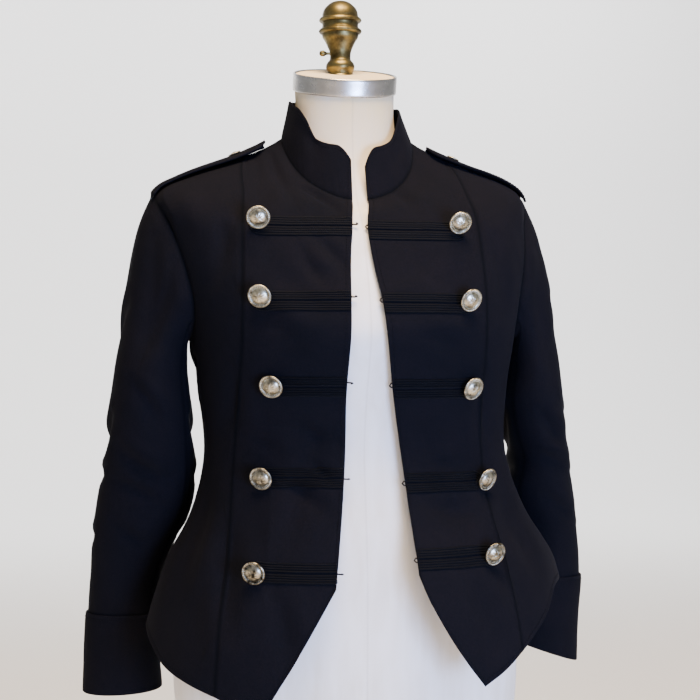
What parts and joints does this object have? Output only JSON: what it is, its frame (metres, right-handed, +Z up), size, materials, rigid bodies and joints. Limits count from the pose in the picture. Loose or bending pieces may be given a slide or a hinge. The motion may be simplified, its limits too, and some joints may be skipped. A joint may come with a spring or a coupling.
{
  "type": "military-style jacket on limbless dress form",
  "caption": "Fitted stand-collar jacket with braid-and-button rows, shoulder straps and a cutaway hem, worn open by a limbless dress form on a disc stand.",
  "frame": {"origin": "centre of the stand's underside", "axes": "+Z up, the open front faces -Y, +X towards the viewer's right"},
  "size_m": [0.6005, 0.3621, 0.9955],
  "materials": {
    "cloth": "brushed black-navy wool, matte",
    "braid": "flat black braid, dull sheen",
    "linen": "cream linen cover",
    "silver": "silver plate, lightly worn",
    "steel": "rolled steel band",
    "brass": "aged turned brass",
    "black_metal": "black enamel",
    "board": "plain board"
  },
  "bodies": {
    "root": {"back_left": "cloth", "back_right": "cloth", "braid_left_1": "braid", "braid_left_2": "braid", "braid_left_3": "braid", "braid_left_4": "braid", "braid_left_5": "braid", "braid_right_1": "braid", "braid_right_2": "braid", "braid_right_3": "braid", "braid_right_4": "braid", "braid_right_5": "braid", "button_left_1": "silver", "button_left_2": "silver", "button_left_3": "silver", "button_left_4": "silver", "button_left_5": "silver", "button_right_1": "silver", "button_right_2": "silver", "button_right_3": "silver", "button_right_4": "silver", "button_right_5": "silver", "collar": "cloth", "cuff_left": "cloth", "cuff_right": "cloth", "epaulette_button_left": "silver", "epaulette_button_right": "silver", "epaulette_left": "cloth", "epaulette_right": "cloth", "eye_1": "black_metal", "eye_2": "black_metal", "eye_3": "black_metal", "eye_4": "black_metal", "eye_5": "black_metal", "finial": "brass", "form_board": "board", "form_torso": "linen", "front_left": "cloth", "front_right": "cloth", "hook_1": "black_metal", "hook_2": "black_metal", "hook_3": "black_metal", "hook_4": "black_metal", "hook_5": "black_metal", "neck_band": "steel", "neck_block": "linen", "side_back_left": "cloth", "side_back_right": "cloth", "side_front_left": "cloth", "side_front_right": "cloth", "stand_base": "black_metal", "stand_pole": "black_metal", "thumb_screw": "brass", "under_sleeve_left": "cloth", "under_sleeve_right": "cloth", "upper_sleeve_left": "cloth", "upper_sleeve_right": "cloth"}
  },
  "joints": []
}
